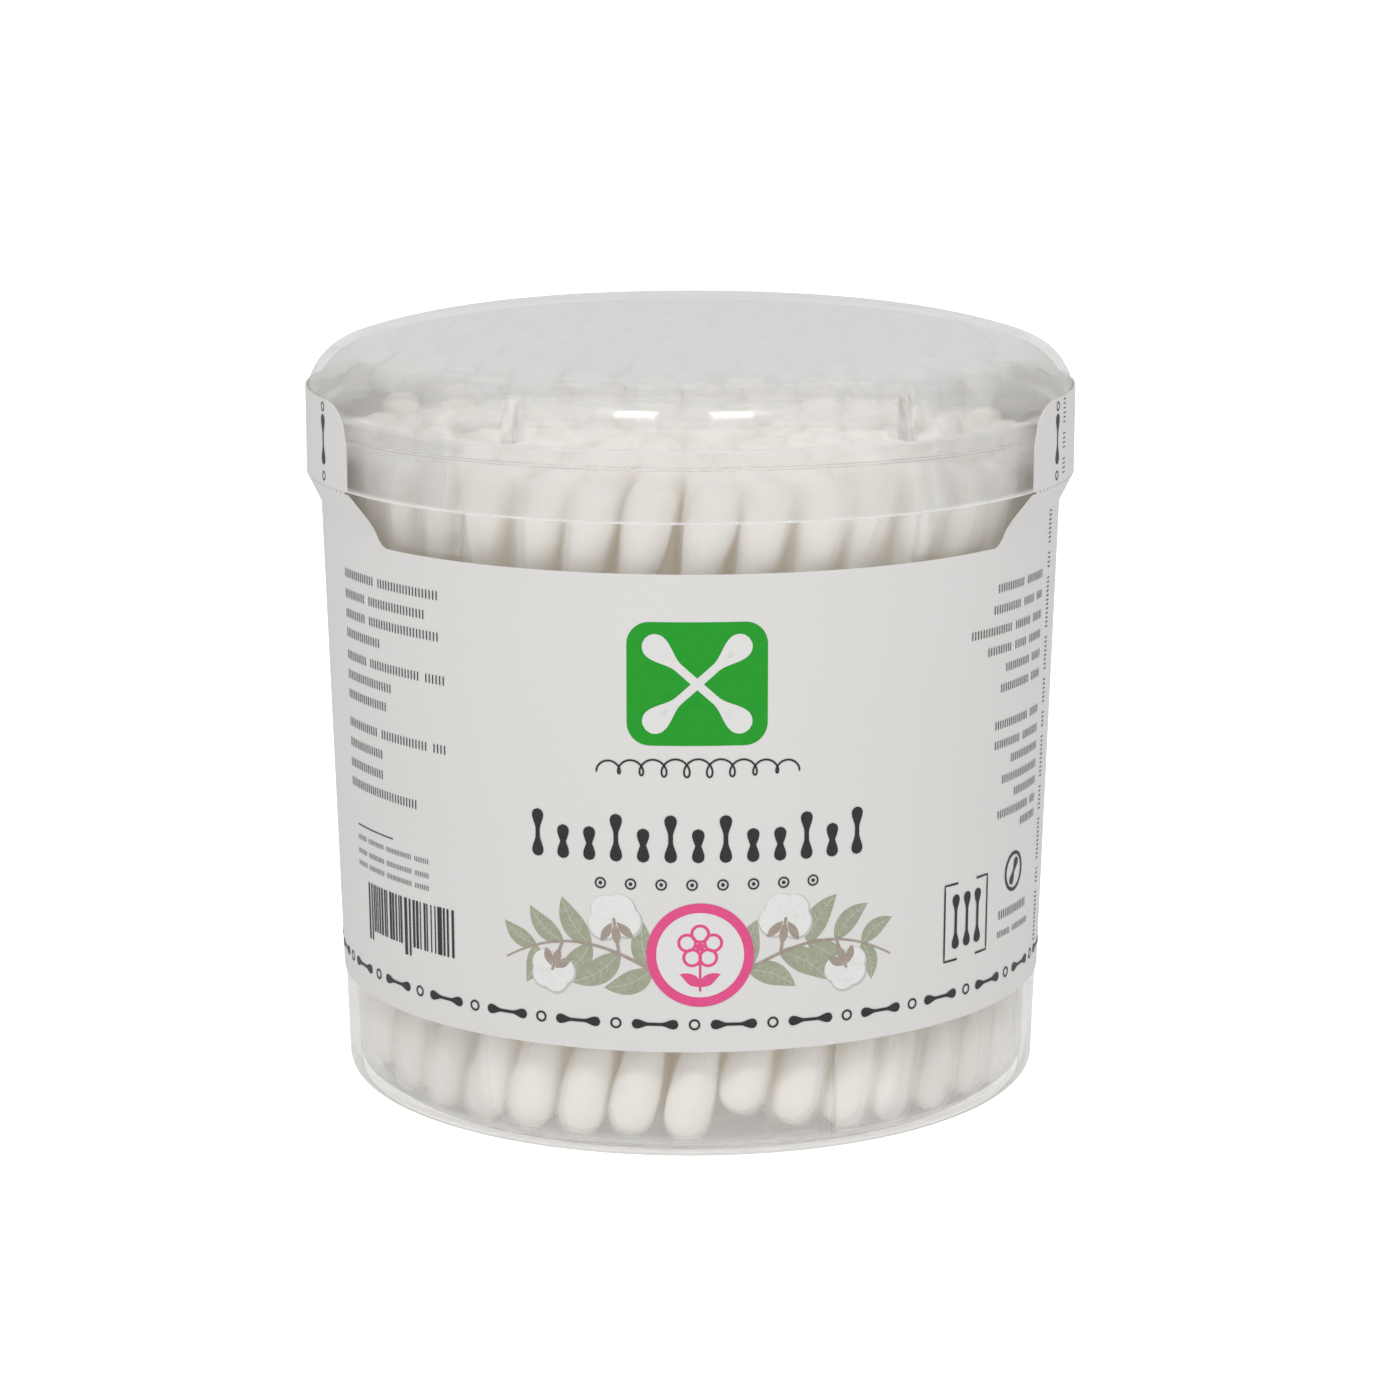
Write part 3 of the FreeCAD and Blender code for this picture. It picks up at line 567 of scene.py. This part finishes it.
class Ink:
    """Printed shapes of one colour, laid on the film. Shapes are drawn on a flat page whose first
    coordinate runs round the film from the front and whose second is the height, both in mm."""

    def __init__(self, name, material, level):
        self.name, self.material = name, material
        self.lift = 0.012 + 0.008 * level
        self.vertices, self.faces = [], []
        self.patches = 0

    def grid(self, rows):
        """A patch from rows of page points, each row as long as the others. Each patch lies a
        hair above the one before, so that patches never share a plane."""
        base, wide = len(self.vertices), len(rows[0])
        self.patches += 1
        lift = self.lift + 0.0002 * (self.patches % 20)
        for row in rows:
            for x, z in row:
                radius = film_r(z)
                self.vertices.append(point(radius + lift, math.degrees(x / radius), z))
        for down in range(len(rows) - 1):
            for along in range(wide - 1):
                a = base + down * wide + along
                self.faces.append((a, a + 1, a + wide + 1, a + wide))

    def disc(self, x, z, radius, inner=0.0, sides=32):
        """A filled round, or a ring where an inner radius is given."""
        steps = max(2, int((radius - inner) / 0.9) + 1)
        rows = []
        for step in range(steps + 1):
            reach = inner + (radius - inner) * step / steps + 1e-4
            turns = [2 * math.pi * side / sides for side in range(sides + 1)]
            rows.append([(x + reach * math.cos(t), z + reach * math.sin(t)) for t in turns])
        self.grid(rows)

    def stroke(self, path, width, taper=None):
        """A line of even width, or as wide as taper says along its length, with round ends."""
        dense = [path[0]]
        for (ax, az), (bx, bz) in zip(path, path[1:]):
            steps = max(1, int(math.hypot(bx - ax, bz - az) / (0.12 if taper else 0.8)))
            for k in range(1, steps + 1):
                dense.append((ax + (bx - ax) * k / steps, az + (bz - az) * k / steps))
        rows = []
        for number, (x, z) in enumerate(dense):
            ax, az = dense[max(number - 1, 0)]
            bx, bz = dense[min(number + 1, len(dense) - 1)]
            length = math.hypot(bx - ax, bz - az) or 1.0
            nx, nz = -(bz - az) / length, (bx - ax) / length
            half = width / 2 * (taper(number / (len(dense) - 1)) if taper else 1.0)
            rows.append([(x + nx * half * k, z + nz * half * k) for k in (-1, -0.33, 0.33, 1)])
        self.grid(rows)
        if not taper and width > 0.25:
            self.disc(*dense[0], width / 2, sides=12)
            self.disc(*dense[-1], width / 2, sides=12)

    def make(self, body):
        piece(self.name, self.vertices, self.faces, self.material, body)


def turned_path(path, x, z, degrees):
    """A path turned about its origin and set down at x, z."""
    cos, sin = math.cos(math.radians(degrees)), math.sin(math.radians(degrees))
    return [(x + (px * cos - pz * sin), z + (px * sin + pz * cos)) for px, pz in path]


def uneven(seed):
    """A fixed, uneven number from 0 to 1."""
    wave = math.sin(seed * 12.9898 + 4.1414) * 43758.5453
    return wave - math.floor(wave)


TICK_STEP = 0.36  # from tick to tick, as a share of the row's height
TICK_GAP = 0.55  # what is added between groups


def tick_row(ink, x, z, groups, height, degrees=0.0):
    """A row of fine upright ticks of one height, in groups, with each group's size given."""
    along = 0.0
    for group in groups:
        for _ in range(group * 2):
            tick = turned_path([(along, 0.0), (along, 0.68 * height)], x, z, degrees)
            ink.stroke(tick, height * 0.105)
            along += height * TICK_STEP
        along += height * TICK_GAP


def tick_run(groups, height):
    """How far such a row runs."""
    return height * (2 * TICK_STEP * sum(groups) + TICK_GAP * len(groups))


def swab_sign(ink, x, z, length, head, stick, degrees=90.0):
    """A drawn swab: a stick with a rounded, drop-shaped head at each end."""
    half = length / 2
    slim = stick / head

    def drop(share):
        if share < 0.3:
            return math.sqrt(max(1 - ((0.3 - share) / 0.3) ** 2, 0.0)) + 0.01
        fall = (share - 0.3) / 0.7
        return 1 - (1 - slim) * (3 - 2 * fall) * fall**2

    ink.stroke(turned_path([(-half + head, 0), (half - head, 0)], x, z, degrees), stick)
    for side in (-1, 1):
        ends = [(side * half, 0), (side * (half - head * 1.75), 0)]
        ink.stroke(turned_path(ends, x, z, degrees), head, drop)


def sprig(leaf, vein, bark, puff, shade, x, z, facing):
    """A bending branch with paired leaves and two tufts in cups; facing is 1 or -1."""
    def at(share):
        return x + facing * (2.0 + 19.5 * share), z + 5.2 * math.sin(share * 2.5) - 1.0 * share

    def blade_width(share):
        return math.sin(math.pi * min(share + 0.02, 1.0) ** 0.85) ** 0.85 + 0.02

    bark.stroke([at(step / 24) for step in range(25)], 0.42, lambda s: 1.0 - 0.6 * s)
    for number, (share, length, width) in enumerate((
        (0.16, 5.6, 2.5), (0.34, 6.4, 2.7), (0.50, 6.0, 2.5), (0.66, 5.2, 2.2), (0.82, 4.4, 1.9),
    )):
        foot = at(share)
        ahead = at(share + 0.04)
        along = math.degrees(math.atan2(ahead[1] - foot[1], ahead[0] - foot[0]))
        for side in (-1, 1):
            if number in (1, 3) and side == (1 if number == 1 else -1):
                reach = 2.9 if number == 1 else 2.5
                tuft(puff, shade, bark, foot, along + facing * side * 62, reach)
                continue
            lean = along + facing * side * (48 + 6 * uneven(40 + number))
            spine = [(length * k / 14, 0.09 * length * math.sin(math.pi * k / 14))
                     for k in range(15)]
            blade = turned_path(spine, foot[0], foot[1], lean)
            leaf.stroke(blade, width, blade_width)
            vein.stroke(blade[1:-1], 0.09)
            for k in (4, 6, 8, 10):
                for way in (-1, 1):
                    rib = [(0, 0), (0.17 * width, way * 0.26 * width)]
                    vein.stroke(turned_path(rib, *blade[k], lean), 0.06)


def tuft(puff, shade, bark, foot, degrees, reach):
    """An open boll: four soft lobes over a small cup, on a short stalk."""
    turn = math.radians(degrees)
    middle = (foot[0] + math.cos(turn) * (reach + 0.9), foot[1] + math.sin(turn) * (reach + 0.9))
    bark.stroke([foot, middle], 0.34)
    for step in range(4):
        lobe = turn + math.radians(-105 + 70 * step)
        spot = (middle[0] + math.cos(lobe) * reach * 0.42,
                middle[1] + math.sin(lobe) * reach * 0.42)
        shade.disc(spot[0] + 0.08, spot[1] - 0.14, reach * 0.6 + 0.09)
        puff.disc(*spot, reach * 0.58)
    for way in (-38, 0, 38):
        cup = turned_path([(-reach * 0.95, 0), (-reach * 0.15, 0)], *middle, degrees + way)
        bark.stroke(cup, 0.95, lambda s: math.sin(math.pi * min(0.08 + 0.9 * s, 1.0)))


def draw_print():
    """The label's print, colour by colour; a shape on a higher level lies over the lower ones."""
    black = Ink("print_black", INK_BLACK, 6)
    green = Ink("print_green", INK_GREEN, 1)
    pink = Ink("print_pink", INK_PINK, 5)
    white = Ink("print_white", INK_WHITE, 4)
    puff = Ink("print_tufts", INK_TUFT, 2)
    shade = Ink("print_tuft_shade", INK_TUFT_SHADE, 1)
    leaf = Ink("print_leaves", INK_LEAF, 0)
    vein = Ink("print_leaf_veins", INK_VEIN, 1)
    bark = Ink("print_branches", INK_BARK, 3)

    # A green rounded tile with two crossed white swabs.
    tile_x, tile_z, half_x, half_z, corner = 0.7, 52.3, 7.4, 6.6, 2.4
    rows = []
    for step in range(33):
        z = -half_z * math.cos(math.pi * step / 32)
        into = max(abs(z) - (half_z - corner), 0)
        reach = half_x - corner + math.sqrt(max(corner**2 - into**2, 0))
        rows.append([(tile_x + reach * k / 10, tile_z + z) for k in range(-10, 11)])
    green.grid(rows)
    swab_sign(white, tile_x, tile_z, 14.6, 2.7, 0.9, 42)
    swab_sign(white, tile_x, tile_z, 14.6, 2.7, 0.9, 138)

    # A pen flourish under the tile: one line with loops.
    wave = []
    for step in range(361):
        share = step / 360
        turn = share * 2 * math.pi * 9.0
        swell = 0.5 + 0.35 * math.sin(share * math.pi)
        wave.append((-9.9 + 21.4 * share - 0.95 * swell * math.sin(turn),
                     43.3 - 1.15 * swell * math.cos(turn)))
    black.stroke(wave, 0.2)

    # A row of upright swabs, tall and short.
    for number, tall in enumerate((1, 0, 0, 1, 0, 1, 0, 1, 0, 0, 1, 0, 1)):
        length = 5.2 if tall else 3.7
        swab_sign(black, -16.6 + 2.9 * number, 33.0 + length / 2, length, 1.3, 0.5)

    # Eight spaced dots in small rings.
    for number in range(8):
        x = -9.6 + 3.25 * number
        black.disc(x, 30.6, 0.62, 0.44)
        black.disc(x, 30.6, 0.2)

    # Two sprigs that spring from behind the roundel.
    for facing in (1, -1):
        sprig(leaf, vein, bark, puff, shade, 1.0, 19.3, facing)

    # A pink roundel with a small flower.
    ring_x, ring_z = 1.0, 22.9
    white.disc(ring_x, ring_z, 5.4, sides=64)
    pink.disc(ring_x, ring_z, 5.7, 4.65, sides=96)
    for number in range(5):
        turn = math.radians(90 + 72 * number)
        pink.disc(ring_x + 1.45 * math.cos(turn), ring_z + 0.9 + 1.45 * math.sin(turn), 1.05, 0.72)
    pink.disc(ring_x, ring_z + 0.9, 0.45)
    for side in (-1, 1):
        path = [(side * 2.4 * k / 8, 1.3 * math.sin(k / 8 * 1.5)) for k in range(9)]
        pink.stroke([(ring_x + px, ring_z - 3.4 + pz) for px, pz in path], 1.2,
                    lambda s: math.sin(math.pi * min(s + 0.08, 1.0)))
    pink.stroke([(ring_x, ring_z - 0.8), (ring_x, ring_z - 3.9)], 0.28)

    # Rows of ticks at the left, with a plain band of stripes under them.
    left = ((59.4, (7, 10)), (57.1, (5, 10)), (54.9, (5, 12)), (52.7, (8,)), (50.2, (5, 9, 3)),
            (48.0, (10,)), (45.8, (9,)), (42.6, (7, 8, 2)), (40.3, (8,)), (38.0, (8,)),
            (35.8, (14,)))
    for z, groups in left:
        tick_row(black, -47.3, z, groups, 1.45)
    black.stroke([(-46.0, 31.6), (-37.6, 31.6)], 0.14)
    for z in (29.9, 28.3, 26.9):
        tick_row(black, -46.0, z, (4, 6, 8, 4), 0.85)
    x, number = -43.6, 0
    while x < -27.6:
        bar = 0.16 + 0.5 * uneven(600 + number) ** 2
        low = 18.9 if number % 14 < 2 else 20.0
        heights = [low + (25.4 - low) * k / 6 for k in range(7)]
        black.grid([[(x, z), (x + bar, z)] for z in heights])
        x += bar + 0.14 + 0.36 * uneven(700 + number)
        number += 1

    # Rows of ticks at the right, set to their right edge, over a bracket box and a ring.
    right = ((58.9, (6, 5)), (56.6, (6, 3, 2)), (54.3, (8, 4, 3)), (52.1, (5, 3, 4)),
             (49.9, (6, 3)), (47.7, (7, 3)), (43.6, (8, 3)), (41.4, (6, 5)), (39.4, (8,)),
             (37.3, (10,)), (35.4, (7,)), (33.4, (8, 2)), (31.6, (5,)))
    for z, groups in right:
        tick_row(black, 51.0 - tick_run(groups, 1.38), z, groups, 1.38)
    for side_x, inward in ((30.2, 1), (37.6, -1)):
        end_x = side_x + 2.1 * inward
        black.stroke([(end_x, 27.6), (side_x, 27.6), (side_x, 19.0), (end_x, 19.0)], 0.24)
    for offset in (-1.9, 0, 1.9):
        swab_sign(black, 33.9 + offset, 23.3, 6.2, 1.15, 0.4)
    badge_x, badge_z = 43.8, 26.6
    black.disc(badge_x, badge_z, 2.3, 1.9)
    swab_sign(black, badge_x, badge_z, 3.3, 1.0, 0.36, 60)
    tick_row(black, 40.4, 21.7, (7,), 1.5)
    tick_row(black, 40.2, 19.6, (4, 6), 1.1)

    # A border round the lower edge: lying swabs with a ring between them, all the way round.
    border_z, count = 15.2, 30
    pitch = 2 * math.pi * film_r(border_z) / count
    for number in range(count):
        x = (number - count / 2 + 0.5) * pitch + 0.4
        swab_sign(black, x, border_z, 5.0, 1.05, 0.34, 0)
        black.disc(x + pitch / 2, border_z, 0.62, 0.40, sides=24)

    # A climbing row of ticks beside the right ear.
    tick_row(black, 53.2, 16.4, (6, 2, 5, 3, 5, 2, 3, 4, 6, 2, 4), 1.4, 90)
    for shapes in (black, green, pink, white, puff, shade, leaf, vein, bark):
        shapes.make("tub")

    # On each seal tab an upright swab between two rings, and at the right a short row of ticks.
    tab = Ink("print_tabs", INK_BLACK, 1)
    for side in (-1, 1):
        x = side * 51.0
        swab_sign(tab, x, 74.4, 5.6, 1.3, 0.42)
        for z in (70.4, 78.0):
            tab.disc(x, z, 0.55, 0.34, sides=24)
    tick_row(tab, 54.2, 70.4, (2, 2, 3), 1.4, 90)
    tab.make("lid")


draw_print()


# Swabs.

def solids_of(node):
    """The foot and top of every swab in a CAD node, from the middles of its end sections."""
    work = bmesh.new()
    work.from_mesh(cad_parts[node].data)
    bmesh.ops.remove_doubles(work, verts=work.verts, dist=1e-6)
    left = dict.fromkeys(work.verts)
    ends = []
    while left:
        seed = next(iter(left))
        del left[seed]
        group, edge = [seed], [seed]
        while edge:
            here = edge.pop()
            for link in here.link_edges:
                other = link.other_vert(here)
                if other in left:
                    del left[other]
                    group.append(other)
                    edge.append(other)
        low = min(v.co.z for v in group)
        high = max(v.co.z for v in group)
        foot = [v.co for v in group if v.co.z < low + 1e-5]
        top = [v.co for v in group if v.co.z > high - 1e-5]
        ends.append((sum(foot, Vector()) / len(foot), sum(top, Vector()) / len(top)))
    work.free()
    return sorted(ends, key=lambda pair: (round(pair[0].x, 6), round(pair[0].y, 6)))


# A head from its end to the stick: distance from the end, and radius. The first few are the end
# itself, which is rounder at the foot and flatter at the top.
ROUND_END = [(0.0, 0.0), (0.08, 0.7), (0.32, 1.34), (0.75, 1.88), (1.35, 2.26), (2.2, 2.5)]
BLUNT_END = [(0.0, 0.0), (0.03, 0.95), (0.14, 1.6), (0.42, 2.1), (0.95, 2.42), (1.9, 2.56)]
HEAD = [(3.3, 2.6), (4.6, 2.59), (6.0, 2.49), (7.6, 2.33), (9.2, 2.13), (10.8, 1.92), (12.2, 1.68),
        (13.3, 1.44), (14.1, 1.24), (14.5, 1.12)]
SWAB_LENGTH = 73.0
STICK_R = 1.12
STICK_STEPS = 6
SQUEEZE = 0.86  # a head's depth across the ring, as a share of its width


def swab_profile():
    """Radius along one swab, from foot to top."""
    low = ROUND_END + HEAD
    high = [(SWAB_LENGTH - z, r) for z, r in (BLUNT_END + HEAD)[::-1]]
    gap = high[0][0] - low[-1][0]
    stick = [(low[-1][0] + gap * step / STICK_STEPS, STICK_R) for step in range(1, STICK_STEPS)]
    return low + stick + high


def swab_mesh(foot, top, number, sides):
    """One swab: heads a little uneven, pressed across the ring's radius by their neighbours."""
    axis = (top - foot).normalized()
    out = Vector((foot.x + top.x, foot.y + top.y, 0))
    out = out.normalized() if out.length > 1e-6 else Vector((1, 0, 0))
    along = axis.cross(out).normalized()
    out = along.cross(axis).normalized()
    vertices, faces = [], []
    outline = swab_profile()
    full = (top - foot).length / MM
    for z, r in outline:
        spot = foot + axis * (z * full / SWAB_LENGTH * MM)
        if r == 0.0:
            vertices.append(spot)
            continue
        cotton_here = min(max((r - STICK_R) / 0.5, 0.0), 1.0)
        for side in range(sides):
            turn = 2 * math.pi * side / sides
            sample = Vector((math.cos(turn) * 0.9, math.sin(turn) * 0.9, z * 0.3 + number * 7.3))
            winding = 0.016 * math.sin(z * 3.4 + turn + number) + 0.02 * noise.noise(sample * 4.3)
            bulge = 1.0 + cotton_here * (0.085 * noise.noise(sample) + winding)
            deep = r * (1 - (1 - SQUEEZE) * cotton_here)
            offset = along * (r * math.cos(turn)) + out * (deep * math.sin(turn))
            vertices.append(spot + offset * (bulge * MM))
    rings = len(outline) - 2
    faces += [(0, 1 + (side + 1) % sides, 1 + side) for side in range(sides)]
    for ring in range(rings - 1):
        a = 1 + ring * sides
        for side in range(sides):
            b = (side + 1) % sides
            faces.append((a + side, a + b, a + sides + b, a + sides + side))
    last = 1 + rings * sides
    a = last - sides
    faces += [(last, a + side, a + (side + 1) % sides) for side in range(sides)]
    return vertices, faces


def swab_group(name, nodes, sides, first):
    """The swabs of these CAD nodes as one piece, each with its own number for its unevenness."""
    vertices, faces = [], []
    number = first
    for node in nodes:
        for foot, top in solids_of(node):
            more_vertices, more_faces = swab_mesh(foot, top, number, sides)
            base = len(vertices)
            vertices += more_vertices
            faces += [tuple(base + index for index in face) for face in more_faces]
            number += 1
    piece(name, vertices, faces, COTTON, "tub", nodes)
    return number


outer = [name for name in sorted(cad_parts) if name.startswith("swab_")]
inner = [name for name in sorted(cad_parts) if name.startswith("swabs_ring_")]
made_so_far = swab_group("swabs_outer_ring", outer, 28, 0)
for node in inner:
    group_name = node.replace("swabs_ring", "swab_heads_ring")
    made_so_far = swab_group(group_name, [node], 14, made_so_far)


def lint():
    """A few loose cotton fibres on the cup's floor under the raised heads."""
    spots = ((2.0, 36.4, 1.7), (3.2, 36.0, 2.6), (1.4, 35.4, 3.4), (4.4, 35.6, 1.6),
             (-33.0, 36.6, 1.5), (13.5, 36.3, 1.6))
    steps = 26
    thin = 0.028
    vertices, faces = [], []
    for number, (angle, reach, z) in enumerate(spots):
        base = len(vertices)
        size = 0.5 + 0.7 * uneven(50 + number)
        for step in range(steps + 1):
            turn = step / steps * (3.5 + 3 * uneven(60 + number))
            swing = size * (0.5 + 0.5 * step / steps)
            middle_r = reach + 0.25 * math.sin(turn * 1.7)
            middle_a = angle + math.degrees(swing * math.sin(turn + number) / reach)
            middle_z = z + 0.55 * size * (1 + math.cos(turn + 2 * number)) * 0.5 + 0.02 * step
            for corner in range(4):
                around = math.pi / 2 * corner
                radius = middle_r + thin * math.cos(around)
                vertices.append(point(radius, middle_a, middle_z + thin * math.sin(around)))
        for step in range(steps):
            for corner in range(4):
                a = base + 4 * step + corner
                b = base + 4 * step + (corner + 1) % 4
                faces.append((a, b, b + 4, a + 4))
        for end in (base, base + 4 * steps):
            faces.append(tuple(end + corner for corner in range(4)))
    piece("lint_fibres", vertices, faces, COTTON, "tub")


lint()


# Floor, light and camera.

LIGHT_LEVEL = 0.69  # of the even light all round
VEILED = 0.66  # what the surroundings show where they are seen through the plastic
FLOOR_REACH = 6.0  # half the floor's side, in metres


def floor():
    """White paper, full white where it is seen bare and greyer through the plastic."""
    made = Finish("floor_white_paper")
    grain = made.noise(300, 2, 0.5)
    ground = made.node("ShaderNodeBsdfDiffuse", {}, {
        "Color": made.blend(grain, rgb(0.84, 0.84, 0.84), rgb(0.85, 0.85, 0.85)),
    })
    bare = made.bare()
    glow = made.glow(0.65 * bare + 0.13 * (1.0 - bare))
    paper = made.node("ShaderNodeAddShader", {}, {0: ground, 1: glow})
    greyed = 0.55 * (1.0 - made.lights_things()) * (1.0 - bare)
    sheet = bpy.data.meshes.new("studio_floor")
    ends = (-FLOOR_REACH, FLOOR_REACH)
    corners = [(x, y, 0) for y in ends for x in ends]
    sheet.from_pydata(corners, [], [(0, 1, 3, 2)])
    sheet.materials.append(made.show(made.mix(greyed, paper, made.glow(0.6))))
    ground_piece = bpy.data.objects.new("studio_floor", sheet)
    bpy.context.scene.collection.objects.link(ground_piece)


def surroundings():
    """Even light from all round; behind the plastic it shows as a light grey."""
    made = Finish("studio", "worlds")
    level = VEILED + made.lights_things() * (LIGHT_LEVEL - VEILED) + made.bare() * (1.0 - VEILED)
    sky = made.node("ShaderNodeBackground", {}, {"Color": rgb(1, 1, 1), "Strength": level})
    bpy.context.scene.world = made.show(sky, "ShaderNodeOutputWorld")


floor()
surroundings()


LAMP_ELEVATION = 50  # degrees
LAMP_DISTANCE = 1.0
LAMP_SIDE = 0.17
LAMP_POWER = 1.45
LAMP_AIM = 0.04  # how high on the object the lamps point


def softbox(name, azimuth):
    """A square lamp in front, aimed at the object; azimuth is from the front towards +X."""
    turn, up = math.radians(azimuth), math.radians(LAMP_ELEVATION)
    level = math.cos(up) * LAMP_DISTANCE
    aim = Vector((0, 0, LAMP_AIM))
    rise = math.sin(up) * LAMP_DISTANCE
    place = aim + Vector((math.sin(turn) * level, -math.cos(turn) * level, rise))
    light = bpy.data.lights.new(name, "AREA")
    light.size = LAMP_SIDE
    light.energy = LAMP_POWER
    made = bpy.data.objects.new(name, light)
    made.location = place
    made.rotation_euler = (aim - place).to_track_quat("-Z", "Y").to_euler()
    bpy.context.scene.collection.objects.link(made)


softbox("softbox_left", -20)
softbox("softbox_right", 15)

# The camera stands in front, a little above the lid, and looks slightly down.
SENSOR = 36.0
PICTURE_WIDTH = 1400  # pixels
FOCAL_LENGTH = 3961.2  # pixels
LOOK_DOWN = 0.2090016  # radians below level
LOOK_ASIDE = 0.00242984  # radians towards +X
camera = bpy.data.objects.new("camera", bpy.data.cameras.new("camera"))
camera.data.sensor_width = SENSOR
camera.data.lens = SENSOR * (FOCAL_LENGTH / PICTURE_WIDTH)
camera.data.clip_start = 0.01
camera.location = (0, -0.444, 0.13607)
camera.rotation_euler = (math.pi / 2 - LOOK_DOWN, 0, -LOOK_ASIDE)
bpy.context.scene.collection.objects.link(camera)
bpy.context.scene.camera = camera
bpy.context.scene.view_settings.view_transform = "Standard"
